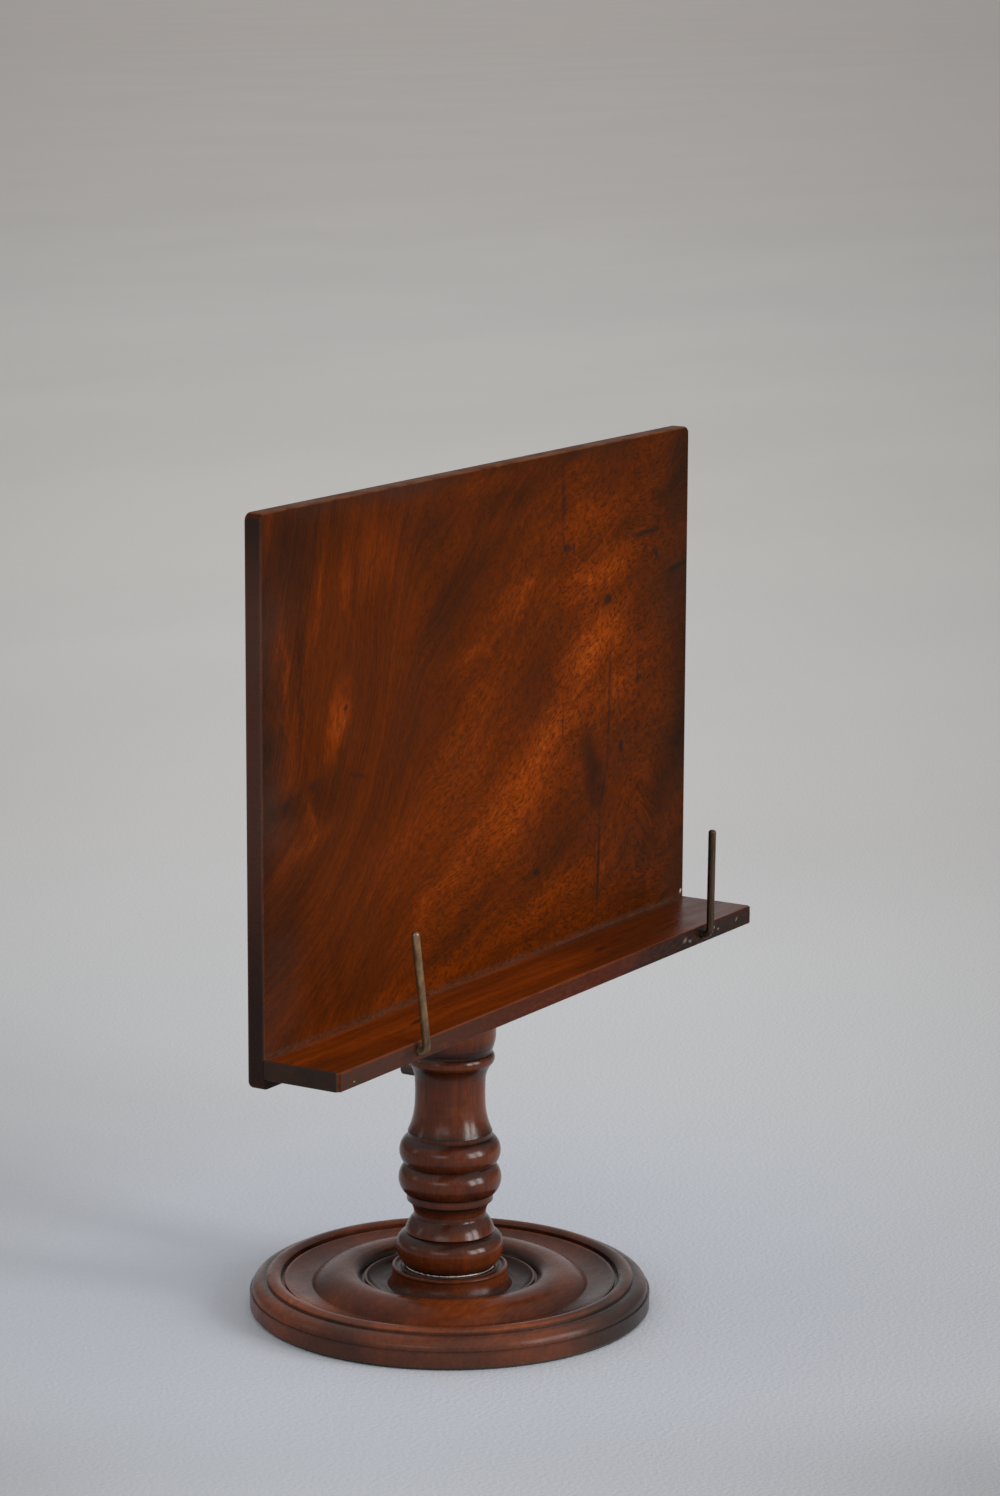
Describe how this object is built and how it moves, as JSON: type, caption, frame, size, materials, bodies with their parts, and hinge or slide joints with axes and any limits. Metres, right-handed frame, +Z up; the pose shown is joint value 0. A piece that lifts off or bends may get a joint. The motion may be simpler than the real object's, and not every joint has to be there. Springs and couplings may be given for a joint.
{
  "type": "atlas stand",
  "caption": "Turned mahogany table-top atlas stand: a moulded round base and column carry a swivelling upright board with a ledge and brass wire page holders.",
  "frame": {"origin": "On the floor, on the axis of the turned base and column.", "axes": "+Z up along the column, +X along the board and ledge to the right of somebody reading, -Y towards the reader, so the front of the board faces -Y."},
  "size_m": [0.4, 0.206, 0.437],
  "materials": {
    "polished_mahogany": "old french polish, semi-gloss",
    "figured_mahogany": "old french polish over ribbon figure, satin",
    "dark_hardwood": "stained hardwood, satin",
    "green_baize": "woven baize",
    "iron_screws": "old iron, dulled",
    "aged_brass": "darkened drawn wire"
  },
  "bodies": {
    "stand": {"base": "polished_mahogany", "baize_pad": "green_baize", "column": "polished_mahogany", "tenon_wedge": "dark_hardwood", "swivel_peg": "dark_hardwood"},
    "head": {"swivel_head": "polished_mahogany", "board": "figured_mahogany", "ledge": "figured_mahogany", "ledge_screws": "iron_screws", "head_screws": "iron_screws"},
    "left_holder": {"page_holder_left": "aged_brass"},
    "right_holder": {"page_holder_right": "aged_brass"}
  },
  "joints": [
    {"name": "head_swivel", "type": "hinge", "parent": "stand", "child": "head", "pos_m": [0, 0, 0.1355], "axis": [0, 0, 1], "continuous": true},
    {"name": "left_holder_turn", "type": "hinge", "parent": "head", "child": "left_holder", "pos_m": [-0.132, -0.0655, 0.17525], "axis": [0, 1, 0], "continuous": true},
    {"name": "right_holder_turn", "type": "hinge", "parent": "head", "child": "right_holder", "pos_m": [0.145, -0.0655, 0.17525], "axis": [0, 1, 0], "continuous": true}
  ]
}
